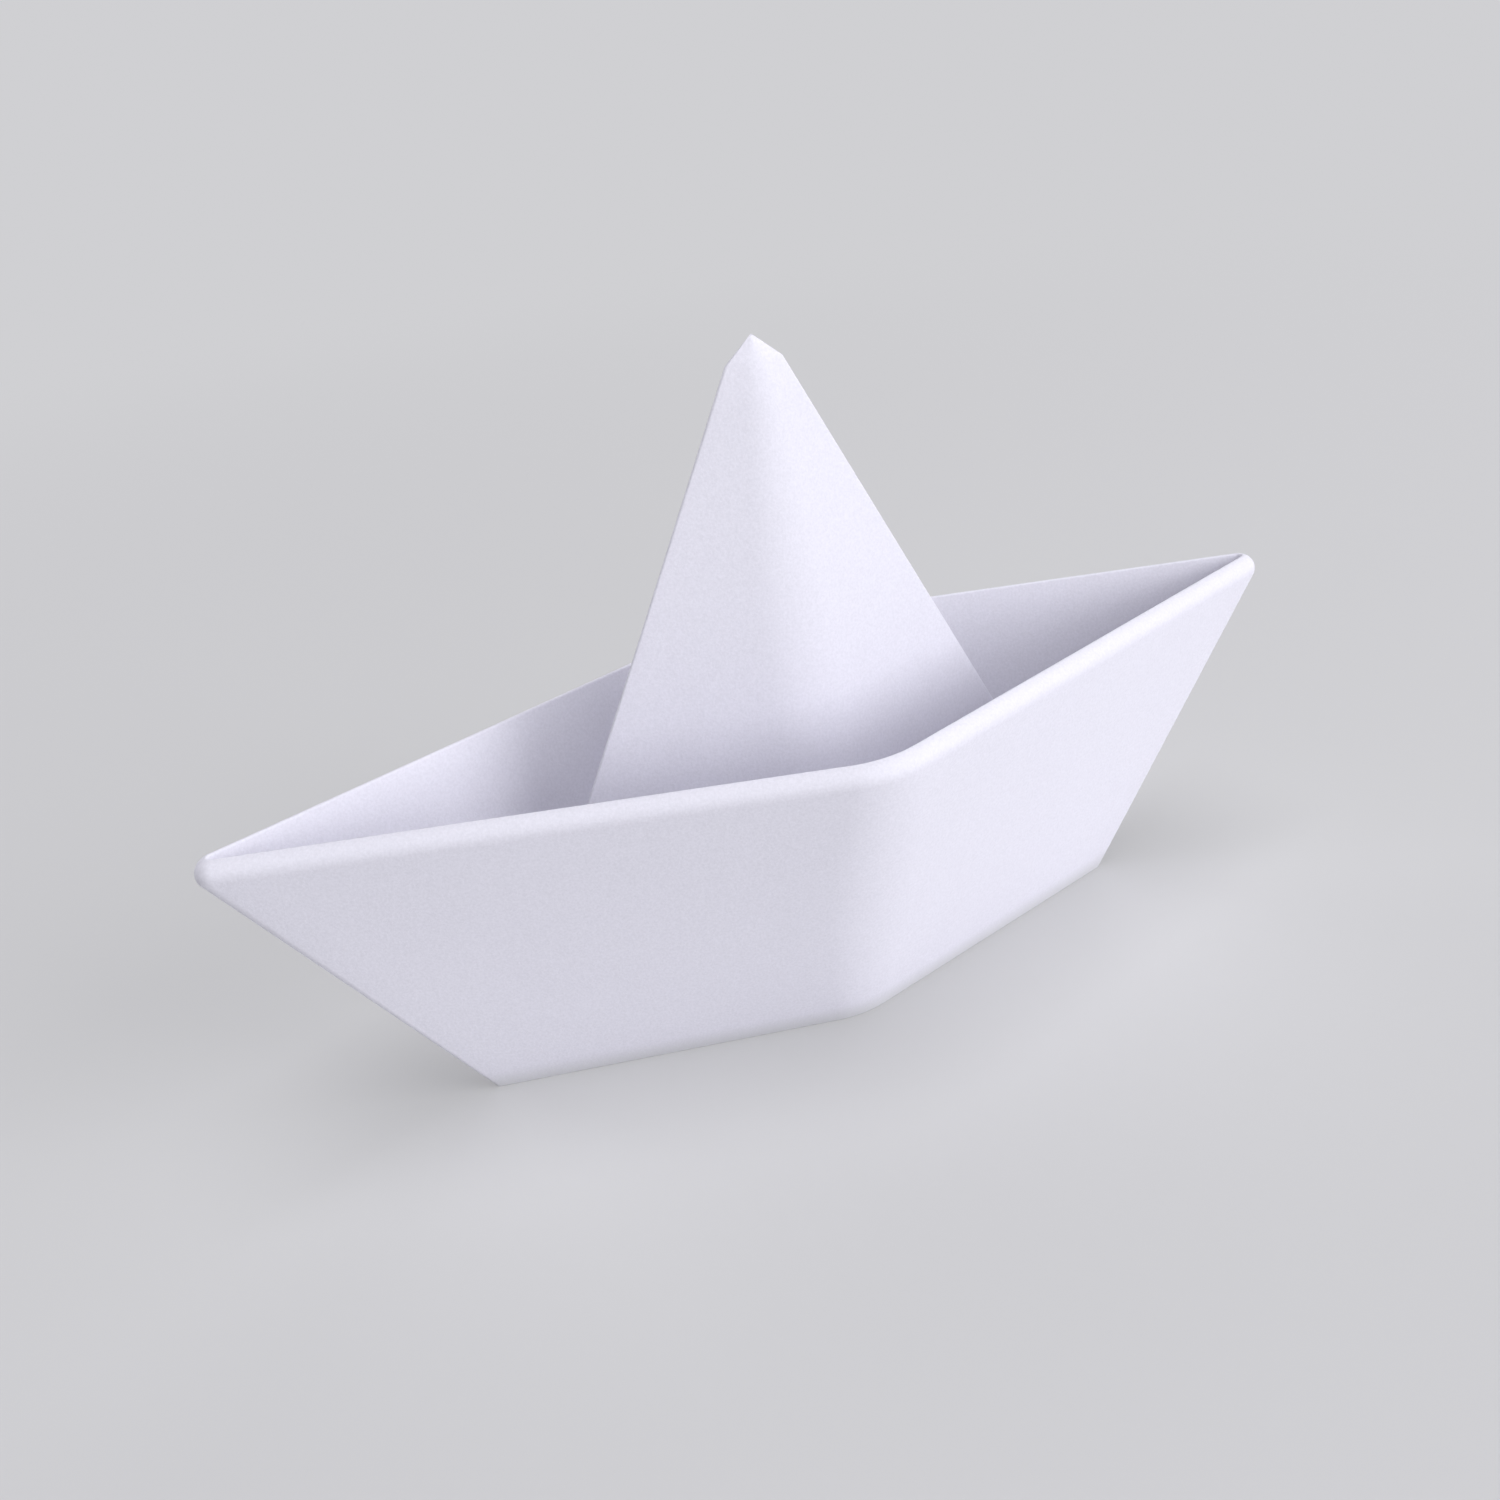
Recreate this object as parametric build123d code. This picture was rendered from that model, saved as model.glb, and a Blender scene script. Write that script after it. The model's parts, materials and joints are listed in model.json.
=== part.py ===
from build123d import *
from dataclasses import dataclass
from math import acos, atan, atan2, cos, hypot, pi, radians, sin, sqrt, tan
import os

# A boat folded from one sheet of paper.
# +X runs along the boat, +Y across it, +Z up. The origin is the middle of its foot on the table.
#
# Across the boat the sheet makes a W. From its free edge, low in the trough, the brim climbs to the
# rim, rolls over it and runs down outside as the hull wall. It turns in a pressed crease at the foot
# and climbs again as the sail, whose far side mirrors it. The sail is hollow and open underneath.

# The sheet's thickness stands for the layers of paper that the folding presses together.
SHEET = 0.8

# Foot of the hull: half length, half beam, nose radius and radius of the soft fold amidships
FOOT_LENGTH = 64.0
FOOT_BEAM = 17.3
FOOT_NOSE = 0.8
FOOT_SOFT_FOLD = 18.0
FOOT_EDGE_RADIUS = 0.35
FOOT_EDGE_STEPS = 2

# Crest of the rim, the highest line of the hull
RIM_HEIGHT = 58.6
RIM_LENGTH = 98.8
RIM_BEAM = 33.7
RIM_NOSE = 1.1
RIM_SOFT_FOLD = 18.0

# Section of the rolled rim: a tight crest and a wide shoulder outside it. The crest hands over to the
# shoulder where the paper has turned this many degrees down from level.
CREST_RADIUS = 0.4
SHOULDER_RADIUS = 2.8
SHOULDER_START = 15.0

# Brim, the leaf inside the hull wall: height of its free edge and its gap to the wall there
BRIM_EDGE_HEIGHT = 10.0
BRIM_EDGE_GAP = 0.4

# Foot crease: how far the two leaves are pressed together, and how far the sail starts inside the wall
CREASE_HEIGHT = 1.2
CREASE_WIDTH = 0.5

# Sail: its shoulder below the tip and the blunt tip
SHOULDER_HEIGHT = 114.7
SHOULDER_REACH = 1.6
SHOULDER_NOSE = 0.4
SHOULDER_SOFT_FOLD = 7.0
TIP_HEIGHT = 118.9

# Smallest radius that the inside of a crease keeps
CREASE_RADIUS = 0.3

# A wall between two unlike loops is built as this many bands, each of them close to flat.
WALL_BANDS = 4


@dataclass(frozen=True)
class Loop:
    """A rhombus seen from above, its noses on X and its soft folds on Y each rounded by an arc."""

    length: float
    beam: float
    nose: float
    soft_fold: float

    def side(self):
        """Direction of the straight side's normal, and how far the side lies from the middle."""
        run = self.length - self.nose
        drop = self.soft_fold - self.beam
        turn = atan2(drop, run) + acos((self.soft_fold - self.nose) / hypot(run, drop))
        return turn, self.soft_fold - drop * sin(turn)

    def reach(self):
        """How far the straight side lies from the middle."""
        return self.side()[1]

    def parallel(self, reach, nose, soft_fold):
        """The loop whose sides run parallel to this one's, this far from the middle."""
        turn, _ = self.side()
        length = (reach - nose) / cos(turn) + nose
        beam = soft_fold - (soft_fold - reach) / sin(turn)
        return Loop(length, beam, nose, soft_fold)

    def inset(self, step):
        """The loop that lies a step inside this one all round. A negative step goes out."""
        nose = max(self.nose - step, CREASE_RADIUS)
        return self.parallel(self.reach() - step, nose, self.soft_fold - step)

    def toward(self, other, share):
        """The loop that lies a share of the way to another."""
        return Loop(
            self.length + (other.length - self.length) * share,
            self.beam + (other.beam - self.beam) * share,
            self.nose + (other.nose - self.nose) * share,
            self.soft_fold + (other.soft_fold - self.soft_fold) * share,
        )

    def corner(self):
        """The point where the nose hands over to the straight side."""
        turn, _ = self.side()
        return self.length - self.nose + self.nose * cos(turn), self.nose * sin(turn)

    def outline(self):
        """The loop's lines and arcs in order, from the corner of its bow on the far side."""
        turn, _ = self.side()
        nose_x, nose_y = self.corner()
        fold_x = self.soft_fold * cos(turn)
        fold_y = self.beam - self.soft_fold + self.soft_fold * sin(turn)
        return [
            Line((nose_x, nose_y), (fold_x, fold_y)),
            ThreePointArc((fold_x, fold_y), (0, self.beam), (-fold_x, fold_y)),
            Line((-fold_x, fold_y), (-nose_x, nose_y)),
            ThreePointArc((-nose_x, nose_y), (-self.length, 0), (-nose_x, -nose_y)),
            Line((-nose_x, -nose_y), (-fold_x, -fold_y)),
            ThreePointArc((-fold_x, -fold_y), (0, -self.beam), (fold_x, -fold_y)),
            Line((fold_x, -fold_y), (nose_x, -nose_y)),
            ThreePointArc((nose_x, -nose_y), (self.length, 0), (nose_x, nose_y)),
        ]

    def face(self, height):
        """The loop as a level face."""
        return Pos(0, 0, height) * make_face(self.outline())


FOOT = Loop(FOOT_LENGTH, FOOT_BEAM, FOOT_NOSE, FOOT_SOFT_FOLD)
CREST = Loop(RIM_LENGTH, RIM_BEAM, RIM_NOSE, RIM_SOFT_FOLD)
SAIL_SHOULDER = FOOT.parallel(SHOULDER_REACH, SHOULDER_NOSE, SHOULDER_SOFT_FOLD)


def stacked(levels):
    """A solid with a straight wall from each level to the next. A level is a loop and its height."""
    return loft([loop.face(height) for loop, height in levels], ruled=True)


def between(low, high, share):
    """The level that lies a share of the way from one level to another."""
    return low[0].toward(high[0], share), low[1] + (high[1] - low[1]) * share


def straight(low, high):
    """A solid with one straight wall between two levels."""
    return stacked([between(low, high, band / WALL_BANDS) for band in range(WALL_BANDS + 1)])


# The rim's section is drawn in two measures from the crest line, out and up. A point on one of its
# arcs is named by its turn, the angle by which the paper there has turned down from level.
HANDOVER = radians(SHOULDER_START)
CREST_CENTRE = (0, -CREST_RADIUS)
SHOULDER_CENTRE = (
    (CREST_RADIUS - SHOULDER_RADIUS) * sin(HANDOVER),
    (CREST_RADIUS - SHOULDER_RADIUS) * cos(HANDOVER) - CREST_RADIUS,
)


def on_arc(centre, radius, turn):
    """A point of an arc of the rim's section."""
    return centre[0] + radius * sin(turn), centre[1] + radius * cos(turn)


def arc(centre, radius, start, end):
    """An arc of the rim's section from one turn to another."""
    turns = (start, (start + end) / 2, end)
    return ThreePointArc(*[on_arc(centre, radius, turn) for turn in turns])


def tangent_turn(out, up, radius):
    """Turn where a straight leaf leaves an arc. The leaf's free end lies this far inside the arc's
    centre and this far below it."""
    return atan2(out, up) + acos(-radius / hypot(out, up))


@dataclass(frozen=True)
class Leaf:
    """A leaf of the sheet where it hangs straight from an arc of the rim's section: the arc's centre,
    the radius of the leaf's outer face there, the turn at which the leaf leaves the arc, and the
    height of the level cut that ends the rim and starts the leaf."""

    centre: tuple
    radius: float
    turn: float
    cut: float

    def root(self, depth):
        """The point where the leaf leaves the arc, a depth into the sheet from its outer face."""
        return on_arc(self.centre, self.radius - depth, self.turn)

    def end(self, depth):
        """The point where the same face of the leaf reaches the cut."""
        out, up = self.root(depth)
        return out + (up - self.cut) / tan(self.turn), self.cut

    def width(self):
        """The sheet's thickness measured level across the leaf."""
        return abs(self.end(0)[0] - self.end(SHEET)[0])

    def top(self, depth):
        """The level where the leaf starts: its loop, a depth into the sheet, and its height."""
        out, up = self.end(depth)
        return CREST.inset(-out), RIM_HEIGHT + up


def wall_leaf():
    """The hull wall, which hangs from the shoulder outside."""
    out = CREST.reach() + SHOULDER_CENTRE[0] - FOOT.reach()
    up = RIM_HEIGHT + SHOULDER_CENTRE[1]
    turn = tangent_turn(out, up, SHOULDER_RADIUS)
    cut = on_arc(SHOULDER_CENTRE, SHOULDER_RADIUS, turn)[1]
    return Leaf(SHOULDER_CENTRE, SHOULDER_RADIUS, turn, cut)


def brim_leaf(edge):
    """The brim, which hangs from the crest inside, down to its free edge. Its cut is level with the
    crease where its hidden face meets the inner face of the shoulder."""
    out = edge.reach() - CREST.reach()
    up = RIM_HEIGHT + CREST_CENTRE[1] - BRIM_EDGE_HEIGHT
    turn = -tangent_turn(out, up, CREST_RADIUS)
    hidden = on_arc(CREST_CENTRE, CREST_RADIUS - SHEET, turn)
    start = (hidden[0] - SHOULDER_CENTRE[0], hidden[1] - SHOULDER_CENTRE[1])
    along = start[0] * cos(turn) - start[1] * sin(turn)
    across = hypot(*start) ** 2 - (SHOULDER_RADIUS - SHEET) ** 2
    cut = hidden[1] - (sqrt(along**2 - across) - along) * sin(turn)
    return Leaf(CREST_CENTRE, CREST_RADIUS, turn, cut)


def rim_section(wall, brim):
    """The rolled sheet between its two leaves. Inside, the sheet creases sharply under the crest."""
    crease = brim.end(SHEET)
    crease_turn = atan2(crease[0] - wall.centre[0], crease[1] - wall.centre[1])
    return make_face(
        [
            arc(wall.centre, wall.radius, wall.turn, HANDOVER),
            arc(brim.centre, brim.radius, HANDOVER, brim.turn),
            Line(brim.root(0), brim.end(0)),
            Line(brim.end(0), crease),
            arc(wall.centre, wall.radius - SHEET, crease_turn, wall.turn),
            Line(wall.root(SHEET), wall.end(SHEET)),
            Line(wall.end(SHEET), wall.end(0)),
        ]
    )


def roll_rim(wall, brim):
    """The rim: its section carried once round the crest line."""
    turn, _ = CREST.side()
    corner = (*CREST.corner(), RIM_HEIGHT)
    across = Plane(corner, x_dir=(cos(turn), sin(turn), 0), z_dir=(sin(turn), -cos(turn), 0))
    crest_line = Pos(0, 0, RIM_HEIGHT) * Wire([piece.edge() for piece in CREST.outline()])
    return sweep(across * rim_section(wall, brim), path=crest_line)


def foot_levels(foot, spread, facing):
    """Levels round the edge between the table and a wall that spreads by this much for each step
    up, from the table to the wall. The wall faces out, 1, or into the hollow, -1."""
    centre = FOOT_EDGE_RADIUS * (spread - hypot(1, spread))
    levels = []
    for step in range(FOOT_EDGE_STEPS + 1):
        turn = pi + (atan(spread) - pi / 2) * step / FOOT_EDGE_STEPS
        out = centre + FOOT_EDGE_RADIUS * sin(turn)
        levels.append((foot.inset(-facing * out), FOOT_EDGE_RADIUS * (1 + cos(turn))))
    return levels


def fold_wall(wall):
    """The hull wall from the foot to the rim."""
    edge = foot_levels(FOOT, -1 / tan(wall.turn), 1)
    top = wall.top(SHEET)
    crease = between((FOOT.inset(wall.width()), 0), top, CREASE_HEIGHT / top[1])
    return stacked(edge) + straight(edge[-1], wall.top(0)) - straight(crease, top)


def fold_brim(brim, edge):
    """The brim from its free edge to the rim. Its outer face is the one that lines the trough."""
    mouth = straight((edge, BRIM_EDGE_HEIGHT), brim.top(0))
    return straight((edge.inset(-brim.width()), BRIM_EDGE_HEIGHT), brim.top(SHEET)) - mouth


def sail_form(depth):
    """The sail, a depth into the sheet from its outer surface. Its tip is a low blunt hip."""
    foot = FOOT.inset(CREASE_WIDTH)
    spread = (foot.reach() - SHOULDER_REACH) / SHOULDER_HEIGHT
    step = depth * hypot(1, spread)
    shoulder = (SAIL_SHOULDER.inset(step), SHOULDER_HEIGHT)
    cap = TIP_HEIGHT - SHOULDER_HEIGHT
    tip = TIP_HEIGHT - depth * hypot(cap, SHOULDER_REACH) / SHOULDER_REACH
    hip = loft([shoulder[0].face(SHOULDER_HEIGHT), Vertex(0, 0, tip)], ruled=True)
    if depth == 0:
        return straight(between((foot, 0), shoulder, CREASE_HEIGHT / SHOULDER_HEIGHT), shoulder) + hip
    edge = foot_levels(foot.inset(step), spread, -1)
    return stacked(edge) + straight(edge[-1], shoulder) + hip


def fold_boat():
    """The whole sheet. The sail stands in the hull's foot, which its hollow opens underneath."""
    wall = wall_leaf()
    top, height = wall.top(0)
    edge = FOOT.toward(top, BRIM_EDGE_HEIGHT / height).inset(2 * wall.width() + BRIM_EDGE_GAP)
    brim = brim_leaf(edge)
    hull = fold_wall(wall) + roll_rim(wall, brim) + fold_brim(brim, edge)
    return hull + sail_form(0) - sail_form(SHEET)


boat = fold_boat()
os.makedirs("parts", exist_ok=True)
export_step(boat, "parts/folded_paper_boat.step")
print("folded_paper_boat", len(boat.solids()), "solid,", round(boat.volume), "mm3")
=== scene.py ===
# %% [markdown]
# # A paper sailboat
# The boat is one sheet of soft lavender-white paper, folded so that its section across the boat is a
# W: the brim hangs in the trough, rolls over the rim, runs down outside as the hull wall, turns in a
# pressed crease at the foot and climbs again as the hollow sail. This lesson models that sheet as one
# closed mesh, gives it a paper finish, and sets it on a pale table under soft light. The packed model
# is loaded first, because every size here has to agree with it.

# %% Load the packed model
import json
from dataclasses import dataclass
from math import acos, atan, atan2, cos, degrees, hypot, pi, radians, sin, sqrt, tan

import bpy
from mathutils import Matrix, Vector

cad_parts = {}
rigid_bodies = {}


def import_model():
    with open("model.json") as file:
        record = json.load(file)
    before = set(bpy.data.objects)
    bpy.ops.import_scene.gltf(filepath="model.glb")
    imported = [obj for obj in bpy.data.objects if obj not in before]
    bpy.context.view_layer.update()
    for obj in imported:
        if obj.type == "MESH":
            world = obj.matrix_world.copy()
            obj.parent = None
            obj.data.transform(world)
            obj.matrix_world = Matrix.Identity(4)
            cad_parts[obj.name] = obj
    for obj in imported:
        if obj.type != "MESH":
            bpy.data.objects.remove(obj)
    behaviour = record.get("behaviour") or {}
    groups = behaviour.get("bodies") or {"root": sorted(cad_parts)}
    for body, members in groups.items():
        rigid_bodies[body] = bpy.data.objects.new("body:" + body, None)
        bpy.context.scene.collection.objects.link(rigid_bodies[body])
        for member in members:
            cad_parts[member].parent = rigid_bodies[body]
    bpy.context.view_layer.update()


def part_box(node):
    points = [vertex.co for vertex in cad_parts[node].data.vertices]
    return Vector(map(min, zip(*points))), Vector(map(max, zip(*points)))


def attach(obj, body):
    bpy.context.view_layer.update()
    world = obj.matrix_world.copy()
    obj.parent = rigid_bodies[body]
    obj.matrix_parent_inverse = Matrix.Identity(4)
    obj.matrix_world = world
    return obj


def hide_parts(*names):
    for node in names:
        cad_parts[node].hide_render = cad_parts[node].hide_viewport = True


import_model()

MM = 0.001

low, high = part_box("folded_paper_boat")
print("CAD boat", [round((b - a) / MM, 1) for a, b in zip(low, high)], "mm")

# %% [markdown]
# ## Camera
# A camera is easiest to place first, since every later choice is judged through it. The boat was
# photographed from its near side, a little towards the bow and from above, with the camera tilted a
# few degrees about its own axis. The numbers are a fit of the boat's corners, in metres and degrees.

# %% Camera
CAMERA_PLACE = (-0.09544, -0.21723, 0.16392)
CAMERA_TURN = (63.67, 6.329, -24.895)
FOCAL_LENGTH = 36.0
SENSOR_WIDTH = 36.0
NEAREST_SEEN = 0.01

bpy.ops.object.select_all(action="DESELECT")
bpy.ops.object.camera_add(location=CAMERA_PLACE, rotation=[radians(turn) for turn in CAMERA_TURN])
camera = bpy.context.object
camera.name = "camera"
camera.data.lens = FOCAL_LENGTH
camera.data.sensor_width = SENSOR_WIDTH
camera.data.clip_start = NEAREST_SEEN
bpy.context.scene.camera = camera
looking = camera.rotation_euler.to_matrix() @ Vector((0, 0, -1))
print("camera looks along", [round(value, 3) for value in looking])

# %% [markdown]
# ## The boat's measures
# All lengths are in millimetres and are turned into metres when a point is drawn. Seen from above,
# every level of the boat is a rhombus with a rounded nose at each end and a soft fold on each side.
# Four numbers describe it: half length, half beam, radius of the nose and radius of the soft fold.

# %% Measures of the sheet, the foot, the rim, the brim and the sail
SHEET = 0.8

FOOT_LENGTH = 64.0
FOOT_BEAM = 17.3
FOOT_NOSE = 0.8
FOOT_SOFT_FOLD = 18.0
FOOT_EDGE_RADIUS = 0.35

RIM_HEIGHT = 58.6
RIM_LENGTH = 98.8
RIM_BEAM = 33.7
RIM_NOSE = 1.1
RIM_SOFT_FOLD = 18.0
CREST_RADIUS = 0.4
SHOULDER_RADIUS = 2.8
SHOULDER_START = 15.0

BRIM_EDGE_HEIGHT = 10.0
BRIM_EDGE_GAP = 0.4

CREASE_HEIGHT = 1.2
CREASE_WIDTH = 0.5
CREASE_RADIUS = 0.3

SAIL_SHOULDER_HEIGHT = 114.7
SAIL_SHOULDER_REACH = 1.6
SAIL_SHOULDER_NOSE = 0.4
SAIL_SHOULDER_SOFT_FOLD = 7.0
TIP_HEIGHT = 118.9


@dataclass(frozen=True)
class Loop:
    """One level of the boat seen from above."""

    length: float
    beam: float
    nose: float
    soft_fold: float

    def side(self):
        """Direction of the straight side's normal, and how far the side lies from the middle."""
        run = self.length - self.nose
        drop = self.soft_fold - self.beam
        turn = atan2(drop, run) + acos((self.soft_fold - self.nose) / hypot(run, drop))
        return turn, self.soft_fold - drop * sin(turn)

    def parallel(self, reach, nose, soft_fold):
        """The loop whose sides run parallel to this one's, this far from the middle."""
        turn = self.side()[0]
        length = (reach - nose) / cos(turn) + nose
        beam = soft_fold - (soft_fold - reach) / sin(turn)
        return Loop(length, beam, nose, soft_fold)

    def inset(self, step):
        """The loop that lies a step inside this one all round."""
        nose = max(self.nose - step, CREASE_RADIUS)
        return self.parallel(self.side()[1] - step, nose, self.soft_fold - step)

    def toward(self, other, share):
        """The loop that lies a share of the way to another."""
        mine = (self.length, self.beam, self.nose, self.soft_fold)
        theirs = (other.length, other.beam, other.nose, other.soft_fold)
        return Loop(*[a + (b - a) * share for a, b in zip(mine, theirs)])


FOOT = Loop(FOOT_LENGTH, FOOT_BEAM, FOOT_NOSE, FOOT_SOFT_FOLD)
CREST = Loop(RIM_LENGTH, RIM_BEAM, RIM_NOSE, RIM_SOFT_FOLD)
SAIL_SHOULDER = FOOT.parallel(SAIL_SHOULDER_REACH, SAIL_SHOULDER_NOSE, SAIL_SHOULDER_SOFT_FOLD)
POINT = Loop(0, 0, 0, 0)
print("sides lean", [round(90 - degrees(loop.side()[0]), 1) for loop in (FOOT, CREST)], "degrees")

# %% [markdown]
# ## How a level is drawn
# The boat is the same on both sides and at both ends, so a quarter is enough and mirrors make the
# rest. A level's quarter starts as a tiny plane merged to one vertex at the tip of the nose. Spin
# swings it round the nose, extrude walks it along the straight side, and a second spin carries it
# round the soft fold to the middle. Every level gets the same number of points, so that levels can
# later be bridged point to point.

# %% Drawing one level
NOSE_STEPS = 10
SIDE_STEPS = 14
FOLD_STEPS = 8
SEED = 0.1


def swing(centre_x, centre_y, height, angle, steps):
    """Swings the selected vertex round an upright axis and leaves the arc's last vertex selected."""
    bpy.ops.mesh.spin(
        steps=steps,
        angle=-angle,
        center=(centre_x * MM, centre_y * MM, height * MM),
        axis=(0, 0, 1),
    )


def draw_level(name, loop, height):
    """Draws a quarter of a level in the mesh under edit and keeps it as a vertex group."""
    turn = loop.side()[0]
    side_x = loop.soft_fold * cos(turn) - loop.nose * cos(turn) - (loop.length - loop.nose)
    side_y = loop.beam - loop.soft_fold + (loop.soft_fold - loop.nose) * sin(turn)
    bpy.ops.mesh.primitive_plane_add(size=SEED * MM, location=(loop.length * MM, 0, height * MM))
    bpy.ops.mesh.merge(type="CENTER")
    swing(loop.length - loop.nose, 0, height, turn, NOSE_STEPS)
    for _ in range(SIDE_STEPS):
        step = (side_x * MM / SIDE_STEPS, side_y * MM / SIDE_STEPS, 0)
        bpy.ops.mesh.extrude_region_move(TRANSFORM_OT_translate={"value": step})
    swing(0, loop.beam - loop.soft_fold, height, pi / 2 - turn, FOLD_STEPS)
    bpy.ops.mesh.select_linked()
    bpy.context.object.vertex_groups.new(name=name)
    bpy.ops.object.vertex_group_assign()
    bpy.ops.mesh.select_all(action="DESELECT")


print("points on a quarter level:", NOSE_STEPS + SIDE_STEPS + FOLD_STEPS + 1)

# %% [markdown]
# ## The rim's section
# The rim is the part that takes the most care. A sheet that is folded over doesn't turn in a line: it
# rolls over a tight crest and comes down round a wide shoulder, and both of its faces keep the
# sheet's thickness apart. The section is worked out from the crest line in two measures, out and up.
# A point on an arc is named by its turn, the angle by which the paper there has turned down.

# %% Points of the rim's section
SHOULDER_STEPS = 12
HANDOVER = radians(SHOULDER_START)
CREST_CENTRE = (0, -CREST_RADIUS)
SHOULDER_CENTRE = (
    (CREST_RADIUS - SHOULDER_RADIUS) * sin(HANDOVER),
    (CREST_RADIUS - SHOULDER_RADIUS) * cos(HANDOVER) - CREST_RADIUS,
)


def tangent_turn(out, up, radius):
    """Turn at which a straight leaf, whose free end lies this far in and down, leaves an arc."""
    return atan2(out, up) + acos(-radius / hypot(out, up))


def on_arc(centre, radius, turn):
    """A point of an arc of the rim's section."""
    return centre[0] + radius * sin(turn), centre[1] + radius * cos(turn)


def rim_level(out, up):
    """The level through a point of the rim's section."""
    return CREST.inset(-out), RIM_HEIGHT + up


def arc_levels(centre, radius, start, end, steps):
    """Levels round one arc of the rim's section."""
    turns = [start + (end - start) * step / steps for step in range(steps + 1)]
    return [rim_level(*on_arc(centre, radius, turn)) for turn in turns]


wall_turn = tangent_turn(
    CREST.side()[1] + SHOULDER_CENTRE[0] - FOOT.side()[1],
    RIM_HEIGHT + SHOULDER_CENTRE[1],
    SHOULDER_RADIUS,
)
wall_spread = -1 / tan(wall_turn)
wall_width = SHEET * hypot(1, wall_spread)
shoulder_rim = arc_levels(SHOULDER_CENTRE, SHOULDER_RADIUS, wall_turn, HANDOVER, SHOULDER_STEPS)
wall_top, wall_top_height = shoulder_rim[0]
brim_edge = FOOT.toward(wall_top, BRIM_EDGE_HEIGHT / wall_top_height)
brim_edge = brim_edge.inset(2 * wall_width + BRIM_EDGE_GAP)
brim_turn = -tangent_turn(
    brim_edge.side()[1] - CREST.side()[1],
    RIM_HEIGHT + CREST_CENTRE[1] - BRIM_EDGE_HEIGHT,
    CREST_RADIUS,
)
brim_width = SHEET / sin(-brim_turn)

# The brim's hidden face runs straight up until it meets the inner face of the shoulder in a crease.
root = on_arc(CREST_CENTRE, CREST_RADIUS - SHEET, brim_turn)
root_out, root_up = root[0] - SHOULDER_CENTRE[0], root[1] - SHOULDER_CENTRE[1]
along = root_out * cos(brim_turn) - root_up * sin(brim_turn)
rise = sqrt(along**2 - hypot(root_out, root_up) ** 2 + (SHOULDER_RADIUS - SHEET) ** 2) - along
crease = (root[0] + rise * cos(brim_turn), root[1] - rise * sin(brim_turn))
crease_turn = atan2(crease[0] - SHOULDER_CENTRE[0], crease[1] - SHOULDER_CENTRE[1])
print("wall leaves the shoulder at", round(degrees(wall_turn), 1), "degrees")
print("brim leaves the crest at", round(degrees(brim_turn), 1), "degrees")

# %% [markdown]
# ## The whole sheet as a chain of levels
# The sheet has two faces that meet only at the brim's free edge, so one unbroken chain of levels
# describes all of it: from the tip of the hollow down to the foot, up the outside of the hull, over
# the rim, down the brim, round its free edge, back up inside the fold, down to the crease and up the
# outside of the sail. Straight stretches get a few levels between, so that no face is very long. Paper
# keeps a tight fold only where something holds it, at the rim, the foot and the tip. Between them it
# springs open a little, so the soft fold amidships is drawn wider there, by about half a millimetre.

# %% Levels from the hollow of the sail to the brim's free edge
FOOT_EDGE_STEPS = 4
CREST_STEPS = 12
WALL_LEVELS = 9
SAIL_LEVELS = 16
HULL_SOFTENING = 8.0
SAIL_SOFTENING = 14.0


def between(low_level, high_level, steps):
    """Levels spread evenly between two levels, without the two themselves."""
    shares = [step / steps for step in range(1, steps)]
    return [
        (
            low_level[0].toward(high_level[0], share),
            low_level[1] + (high_level[1] - low_level[1]) * share,
        )
        for share in shares
    ]


def softened(levels, most):
    """The same levels with a wider soft fold, widest half way along. The straight sides stay put."""
    wider = []
    for number, (loop, height) in enumerate(levels, start=1):
        soft_fold = loop.soft_fold + most * sin(pi * number / (len(levels) + 1))
        wider.append((loop.parallel(loop.side()[1], loop.nose, soft_fold), height))
    return wider


def foot_edge(foot, spread, facing):
    """Levels round the edge between the table and a wall, which faces out, 1, or in, -1."""
    centre = FOOT_EDGE_RADIUS * (spread - hypot(1, spread))
    levels = []
    for step in range(FOOT_EDGE_STEPS + 1):
        turn = pi + (atan(spread) - pi / 2) * step / FOOT_EDGE_STEPS
        out = centre + FOOT_EDGE_RADIUS * sin(turn)
        levels.append((foot.inset(-facing * out), FOOT_EDGE_RADIUS * (1 + cos(turn))))
    return levels


sail_foot = FOOT.inset(CREASE_WIDTH)
sail_spread = (sail_foot.side()[1] - SAIL_SHOULDER_REACH) / SAIL_SHOULDER_HEIGHT
sail_width = SHEET * hypot(1, sail_spread)

hollow_edge = foot_edge(sail_foot.inset(sail_width), sail_spread, facing=-1)
hollow_shoulder = (SAIL_SHOULDER.inset(sail_width), SAIL_SHOULDER_HEIGHT)
hull_edge = foot_edge(FOOT, wall_spread, facing=1)
brim_start = (brim_edge, BRIM_EDGE_HEIGHT)
crest_rim = arc_levels(CREST_CENTRE, CREST_RADIUS, HANDOVER, brim_turn, CREST_STEPS)

outer_chain = [hollow_shoulder]
outer_chain += softened(between(hollow_shoulder, hollow_edge[-1], SAIL_LEVELS), SAIL_SOFTENING)
outer_chain += hollow_edge[::-1]
outer_chain += hull_edge
outer_chain += softened(between(hull_edge[-1], shoulder_rim[0], WALL_LEVELS), HULL_SOFTENING)
outer_chain += shoulder_rim
outer_chain += crest_rim[1:]
outer_chain += between(crest_rim[-1], brim_start, WALL_LEVELS)
outer_chain += [brim_start]
print("levels down the outer face:", len(outer_chain))

# %% Levels from the brim's free edge to the tip of the sail
HIDDEN_STEPS = 8
CAP_LEVELS = 6

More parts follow.
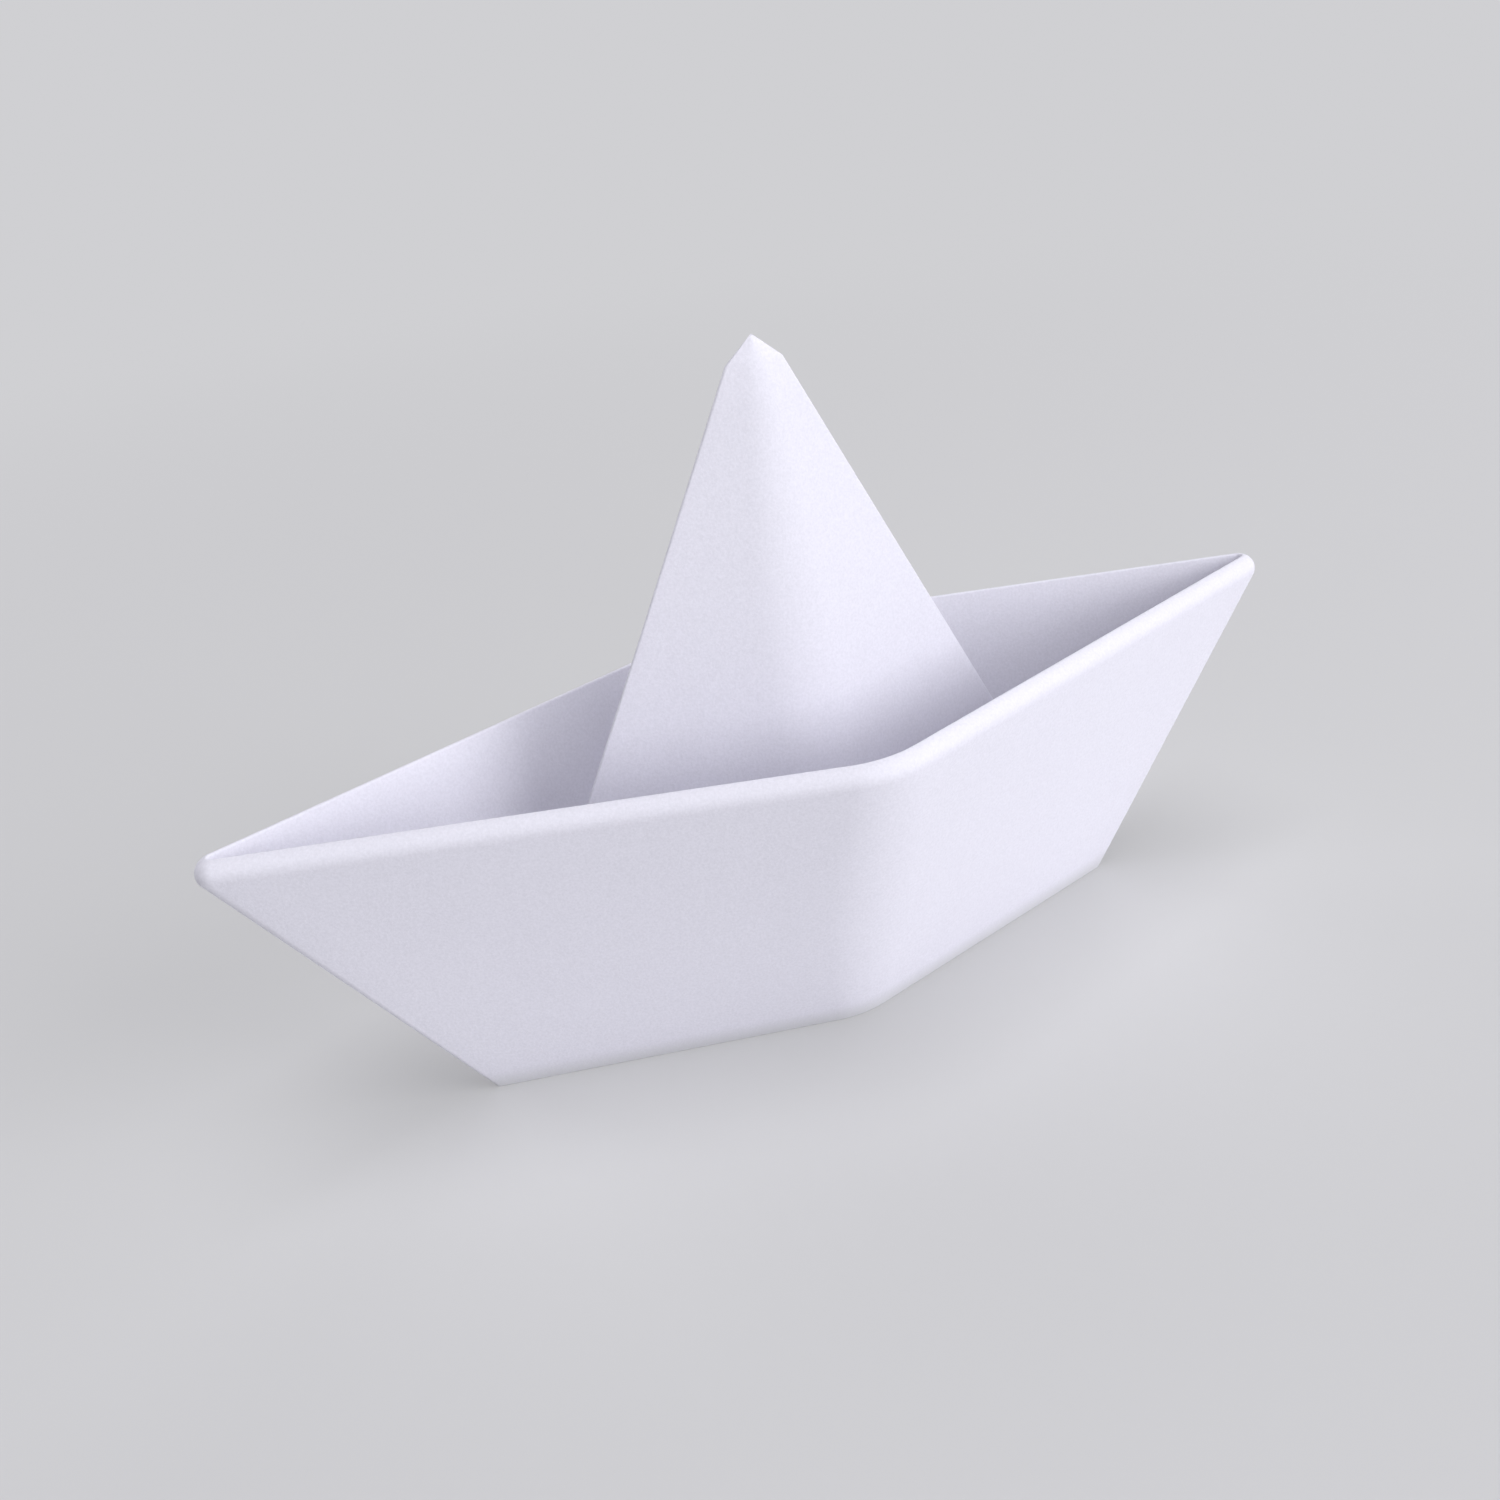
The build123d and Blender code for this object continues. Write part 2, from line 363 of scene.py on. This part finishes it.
hidden_brim_start = (brim_edge.inset(-brim_width), BRIM_EDGE_HEIGHT)
hidden_radius = SHOULDER_RADIUS - SHEET
hidden_shoulder = arc_levels(SHOULDER_CENTRE, hidden_radius, crease_turn, wall_turn, HIDDEN_STEPS)
hidden_foot = (FOOT.inset(wall_width), 0)
sail_shoulder = (SAIL_SHOULDER, SAIL_SHOULDER_HEIGHT)


def at_crease(foot_level, top_level):
    """The level at the crease's height on the straight wall between two levels."""
    share = CREASE_HEIGHT / top_level[1]
    return foot_level[0].toward(top_level[0], share), CREASE_HEIGHT


crease_outside = at_crease(hidden_foot, hidden_shoulder[-1])
crease_inside = at_crease((sail_foot, 0), sail_shoulder)

inner_chain = [hidden_brim_start]
inner_chain += between(hidden_brim_start, hidden_shoulder[0], WALL_LEVELS)
inner_chain += hidden_shoulder
inner_chain += softened(between(hidden_shoulder[-1], crease_outside, WALL_LEVELS), HULL_SOFTENING)
inner_chain += [crease_outside, crease_inside]
inner_chain += softened(between(crease_inside, sail_shoulder, SAIL_LEVELS), SAIL_SOFTENING)
inner_chain += [sail_shoulder]

# A few small levels up the cap keep the shading of its slopes clear of the one point at the tip.
inner_chain += between(sail_shoulder, (POINT, TIP_HEIGHT), CAP_LEVELS)
print("levels back up the inner face:", len(inner_chain))

# %% [markdown]
# ## Drawing and bridging the levels
# Bridge Edge Loops makes a strip of faces between two rows of edges that have the same number of
# points. Each level was kept as a vertex group, so a pair is picked by its number and bridged. The two
# ends of the chain are the tips of the sail's hollow and of its outside. There the last level is drawn
# once more at the tip's height, bridged like the others, drawn together to a point and merged. An
# extrude would do as well, but it lists its new faces in another order each time the script runs.

# %% Quarter of the sheet
bpy.ops.object.select_all(action="DESELECT")
bpy.ops.mesh.primitive_plane_add(size=SEED * MM)
boat = bpy.context.object
boat.name = "paper_boat"
bpy.ops.object.mode_set(mode="EDIT")
bpy.ops.mesh.delete(type="VERT")
bpy.ops.mesh.select_mode(type="VERT")

cap = TIP_HEIGHT - SAIL_SHOULDER_HEIGHT
hollow_tip = TIP_HEIGHT - SHEET * hypot(cap, SAIL_SHOULDER_REACH) / SAIL_SHOULDER_REACH
first_level = (outer_chain[0][0], hollow_tip)
last_level = (inner_chain[-1][0], TIP_HEIGHT)
chain = [first_level, *outer_chain, *inner_chain, last_level]
for number, (loop, height) in enumerate(chain):
    draw_level(f"level_{number}", loop, height)


def select_level(number):
    """Adds one level's points to the selection."""
    boat.vertex_groups.active_index = number
    bpy.ops.object.vertex_group_select()


for number in range(len(chain) - 1):
    bpy.ops.mesh.select_all(action="DESELECT")
    select_level(number)
    select_level(number + 1)
    bpy.ops.mesh.bridge_edge_loops()


def close_tip(number):
    """Draws a level together to a point above the middle."""
    bpy.ops.mesh.select_all(action="DESELECT")
    select_level(number)
    bpy.ops.transform.resize(value=(0, 0, 0), center_override=(0, 0, chain[number][1] * MM))
    bpy.ops.mesh.merge(type="COLLAPSE")


close_tip(0)
close_tip(len(chain) - 1)
bpy.ops.object.mode_set(mode="OBJECT")
boat.vertex_groups.clear()
print("quarter of the sheet:", len(boat.data.vertices), "points,", len(boat.data.polygons), "faces")

# %% [markdown]
# ## The other three quarters
# A mirror on X and Y makes the whole boat and welds it along both middles. Merging by distance closes
# the last seams, and the normals are then recalculated, because a mirror turns faces round. Faces that
# meet at less than the smoothing angle are shaded as one, so arcs are smooth and creases stay sharp.

# %% Mirror, weld and smooth
WELD = 0.002
SMOOTH_BELOW = 32

modifier = boat.modifiers.new("other quarters", "MIRROR")
modifier.use_axis = (True, True, False)
modifier.merge_threshold = WELD * MM
bpy.ops.object.modifier_apply(modifier=modifier.name)

bpy.ops.object.mode_set(mode="EDIT")
bpy.ops.mesh.select_all(action="SELECT")
bpy.ops.mesh.remove_doubles(threshold=WELD * MM)
bpy.ops.mesh.normals_make_consistent(inside=False)
bpy.ops.mesh.select_all(action="DESELECT")
bpy.ops.mesh.select_non_manifold()
bpy.ops.object.mode_set(mode="OBJECT")
open_points = sum(vertex.select for vertex in boat.data.vertices)
bpy.ops.object.shade_smooth_by_angle(angle=radians(SMOOTH_BELOW))
print("boat:", len(boat.data.polygons), "faces,", open_points, "open points")

# %% [markdown]
# ## Shader maths
# A finish is a net of nodes. Drawn by hand it soon gets hard to read, so one small class wraps a
# socket and lets the maths be written as plain expressions, and one function makes every other node.

# %% Writing shader maths as expressions
class Field:
    """A shader socket that can be added, subtracted and multiplied."""

    def __init__(self, tree, socket):
        self.tree = tree
        self.socket = socket

    def _math(self, operation, *values):
        return node(self.tree, "ShaderNodeMath", {"operation": operation}, dict(enumerate(values)))

    def __add__(self, other):
        return self._math("ADD", self, other)

    def __radd__(self, other):
        return self._math("ADD", other, self)

    def __sub__(self, other):
        return self._math("SUBTRACT", self, other)

    def __rsub__(self, other):
        return self._math("SUBTRACT", other, self)

    def __mul__(self, other):
        return self._math("MULTIPLY", self, other)

    def __rmul__(self, other):
        return self._math("MULTIPLY", other, self)


def node(tree, kind, settings=None, values=None, output=0):
    """Adds a node: its settings first, then the values or links of its sockets."""
    made = tree.nodes.new(kind)
    for name, value in (settings or {}).items():
        setattr(made, name, value)
    for name, value in (values or {}).items():
        if isinstance(value, Field):
            tree.links.new(value.socket, made.inputs[name])
        else:
            made.inputs[name].default_value = value
    return Field(tree, made.outputs[output])


print("reflected operators:", [name for name in vars(Field) if name.startswith("__r")])

# %% Mixing colours and ramping a value
MIX_SHARE = 0
MIX_FIRST = 6
MIX_SECOND = 7
MIX_RESULT = 2


def mixed(share, first, second):
    """A colour that goes from the first to the second as the share goes from 0 to 1."""
    values = {MIX_SHARE: share, MIX_FIRST: first, MIX_SECOND: second}
    return node(share.tree, "ShaderNodeMix", {"data_type": "RGBA"}, values, output=MIX_RESULT)


def ramp(value, start, end, lowest=0.0):
    """A soft ramp from the lowest value at the start to 1 at the end."""
    values = {"Value": value, "From Min": start, "From Max": end, "To Min": lowest}
    return node(value.tree, "ShaderNodeMapRange", {"interpolation_type": "SMOOTHSTEP"}, values)


print("a colour mix reads its sockets", MIX_SHARE, MIX_FIRST, "and", MIX_SECOND)

# %% [markdown]
# ## Paper
# Uncoated paper is matte, a little uneven in tone where its fibres lie closer, and never quite flat:
# its skin is a felt of fibres. The finish has three layers for this, and a fourth of painted shade.
# Broad soft clouds shift the tone by less than a hundredth, a fine grain shifts it by two or three
# hundredths at the size of the fibres, and a bump map lifts the fibres by a few hundredths of a
# millimetre. Last, the paper is painted greyer over its lowest few millimetres, a painted shade where
# the foot meets the table.

# %% The grain of the paper
paper = bpy.data.materials.new("soft_lavender_paper")
paper.use_nodes = True
paper_tree = paper.node_tree
on_boat = node(paper_tree, "ShaderNodeTexCoord", output="Object")


def grain(per_metre, detail, roughness=0.5, stretch=(1, 1, 1)):
    """Noise from 0 to 1 with a number of grains per metre."""
    spread = node(paper_tree, "ShaderNodeMapping", {}, {"Vector": on_boat, "Scale": stretch})
    values = {"Vector": spread, "Scale": per_metre, "Detail": detail, "Roughness": roughness}
    return node(paper_tree, "ShaderNodeTexNoise", {}, values)


clouds = grain(per_metre=45, detail=3)
fibres = grain(per_metre=2200, detail=3, roughness=0.6)
strands = grain(per_metre=900, detail=2, stretch=(1, 0.3, 0.6))
print("nodes after the three grains:", len(paper_tree.nodes))

# %% The paper finish
PAPER = (0.84, 0.831, 0.908, 1)
PAPER_THIN = (0.77, 0.762, 0.835, 1)
# Painted shade: a greyer paper colour for the lowest few millimetres, where the foot meets the table.
PAPER_PAINTED_SHADE = (0.68, 0.68, 0.71, 1)
PAINTED_SHADE_HEIGHT = 4.5

CLOUD_SHARE = 0.3
FIBRE_SHARE = 0.65
FIBRE_CONTRAST = 4
FIBRE_LEVEL = 1.6
STRAND_SHARE = 0.2

SMOOTHEST = 0.82
FIBRE_ROUGHNESS = 0.12
SHEEN = 0.3
SKIN_STRENGTH = 0.65
SKIN_DEPTH = 0.08
STRANDS_IN_SKIN = 0.3

tone = clouds * CLOUD_SHARE + strands * STRAND_SHARE
tone = tone + (fibres * FIBRE_CONTRAST - FIBRE_LEVEL) * FIBRE_SHARE
above_table = node(paper_tree, "ShaderNodeSeparateXYZ", {}, {"Vector": on_boat}, output="Z")
# Painted shade: the colour turns greyer towards the table over the lowest few millimetres.
clear_of_painted_shade = ramp(above_table, 0.0, PAINTED_SHADE_HEIGHT * MM)
colour = mixed(clear_of_painted_shade, PAPER_PAINTED_SHADE, mixed(tone, PAPER, PAPER_THIN))
relief = fibres * (1 - STRANDS_IN_SKIN) + strands * STRANDS_IN_SKIN
lift = {"Strength": SKIN_STRENGTH, "Distance": SKIN_DEPTH * MM, "Height": relief}
skin = node(paper_tree, "ShaderNodeBump", {}, lift)

shader = paper_tree.nodes["Principled BSDF"]
paper_tree.links.new(colour.socket, shader.inputs["Base Color"])
paper_tree.links.new((SMOOTHEST + fibres * FIBRE_ROUGHNESS).socket, shader.inputs["Roughness"])
paper_tree.links.new(skin.socket, shader.inputs["Normal"])
shader.inputs["Specular IOR Level"].default_value = SHEEN
boat.data.materials.clear()
boat.data.materials.append(paper)
print("paper finish has", len(paper_tree.nodes), "nodes")

# %% [markdown]
# ## The boat takes the CAD solid's place
# The mesh stands for the packed solid, rides on the part's one body and names the record's material.

# %% Replace, ride and slot
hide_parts("folded_paper_boat")
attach(boat, "root")
print(boat.name, "stands for the solid and wears", boat.data.materials[0].name)

# %% [markdown]
# ## Table
# The table is a plain pale sheet that runs far past the picture. Near the boat it is an ordinary
# surface, which takes the boat's shadow and throws light back at it. Further out it fades, for the
# camera only, into the colour of the backdrop, so that no horizon shows.

# %% Table
TABLE_SIZE = 60
TABLE_COLOUR = (0.66, 0.66, 0.665, 1)
TABLE_ROUGHNESS = 0.9
BACKDROP = (0.63, 0.63, 0.65, 1)
NEAR_FADE = 0.4
FADE_START = 0.2
FADE_END = 0.9

bpy.ops.object.select_all(action="DESELECT")
bpy.ops.mesh.primitive_plane_add(size=TABLE_SIZE)
table = bpy.context.object
table.name = "table"
pale = bpy.data.materials.new("pale_table")
pale.use_nodes = True
table_tree = pale.node_tree
near_table = table_tree.nodes["Principled BSDF"]
near_table.inputs["Base Color"].default_value = TABLE_COLOUR
near_table.inputs["Roughness"].default_value = TABLE_ROUGHNESS

on_table = node(table_tree, "ShaderNodeTexCoord", output="Object")
length = {"operation": "LENGTH"}
distance = node(table_tree, "ShaderNodeVectorMath", length, {"Vector": on_table}, output="Value")
table_seen = node(table_tree, "ShaderNodeLightPath", output="Is Camera Ray")
fade = ramp(distance, FADE_START, FADE_END, lowest=NEAR_FADE) * table_seen
near_face = Field(table_tree, near_table.outputs["BSDF"])
far_face = node(table_tree, "ShaderNodeEmission", {}, {"Color": BACKDROP})
blend = node(table_tree, "ShaderNodeMixShader", {}, {"Fac": fade, 1: near_face, 2: far_face})
table_tree.links.new(blend.socket, table_tree.nodes["Material Output"].inputs["Surface"])
table.data.materials.append(pale)
print("table fades from", FADE_START, "m to", FADE_END, "m with", len(table_tree.nodes), "nodes")

# %% [markdown]
# ## Lamps
# In the picture the hull is lighter than the trough although the trough faces up, so most of the
# light comes in low, from the front right, and the hull keeps it out of the trough. That lamp is
# large, because its shade climbs the sail and the far wall softly. A second large lamp, almost
# straight above, lights the rim and the top of the sail. Weak lamps at the front and on the left
# fill in, and two low ones behind light the far side of the hull without reaching the faces that the
# camera sees. The light is a shade cooler than white, like daylight, and is kept low enough for the
# palest fold to hold its tone.

# %% Lamps
LAMP_DISTANCE = 2.6
LAMP_AIM = (0, 0, 0.05)
COOL_WHITE = (0.97, 0.967, 1.0)


def soft_lamp(name, azimuth, elevation, size, power):
    """A square lamp that faces the boat. Azimuth runs from +X towards +Y."""
    level = LAMP_DISTANCE * cos(radians(elevation))
    rise = LAMP_DISTANCE * sin(radians(elevation))
    place = (level * cos(radians(azimuth)), level * sin(radians(azimuth)), rise)
    bpy.ops.object.light_add(type="AREA", location=place)
    lamp = bpy.context.object
    lamp.name = name
    lamp.data.size = size
    lamp.data.color = COOL_WHITE
    lamp.data.energy = power
    aim = Vector(LAMP_AIM) - Vector(place)
    lamp.rotation_euler = aim.to_track_quat("-Z", "Y").to_euler()


soft_lamp("key_lamp", azimuth=-45, elevation=20, size=1.9, power=46)
soft_lamp("top_lamp", azimuth=-80, elevation=85, size=1.6, power=37)
soft_lamp("front_lamp", azimuth=-95, elevation=12, size=1.2, power=14)
soft_lamp("left_lamp", azimuth=-140, elevation=12, size=1.2, power=3)
soft_lamp("back_right_lamp", azimuth=45, elevation=20, size=1.2, power=12)
soft_lamp("back_left_lamp", azimuth=125, elevation=14, size=1.2, power=16)
lamps = [thing for thing in bpy.context.scene.objects if thing.type == "LIGHT"]
print("lamps:", {lamp.name: lamp.data.energy for lamp in lamps}, "W")

# %% [markdown]
# ## Sky
# The sky adds a little light from everywhere, so that no shade goes black. The camera sees it in the
# backdrop's colour and at full strength, and everything else gets a tenth of a cool white.

# %% Sky
SKY = 0.1

world = bpy.context.scene.world or bpy.data.worlds.new("sky")
bpy.context.scene.world = world
world.use_nodes = True
sky_tree = world.node_tree
sky = sky_tree.nodes["Background"]
sky_seen = node(sky_tree, "ShaderNodeLightPath", output="Is Camera Ray")
sky_strength = sky_seen * (1 - SKY) + SKY
sky_colour = mixed(sky_seen, (*COOL_WHITE, 1), BACKDROP)
sky_tree.links.new(sky_colour.socket, sky.inputs["Color"])
sky_tree.links.new(sky_strength.socket, sky.inputs["Strength"])
bpy.context.scene.view_settings.view_transform = "Standard"
print("sky gives", SKY, "of its colour's light")

# %% [markdown]
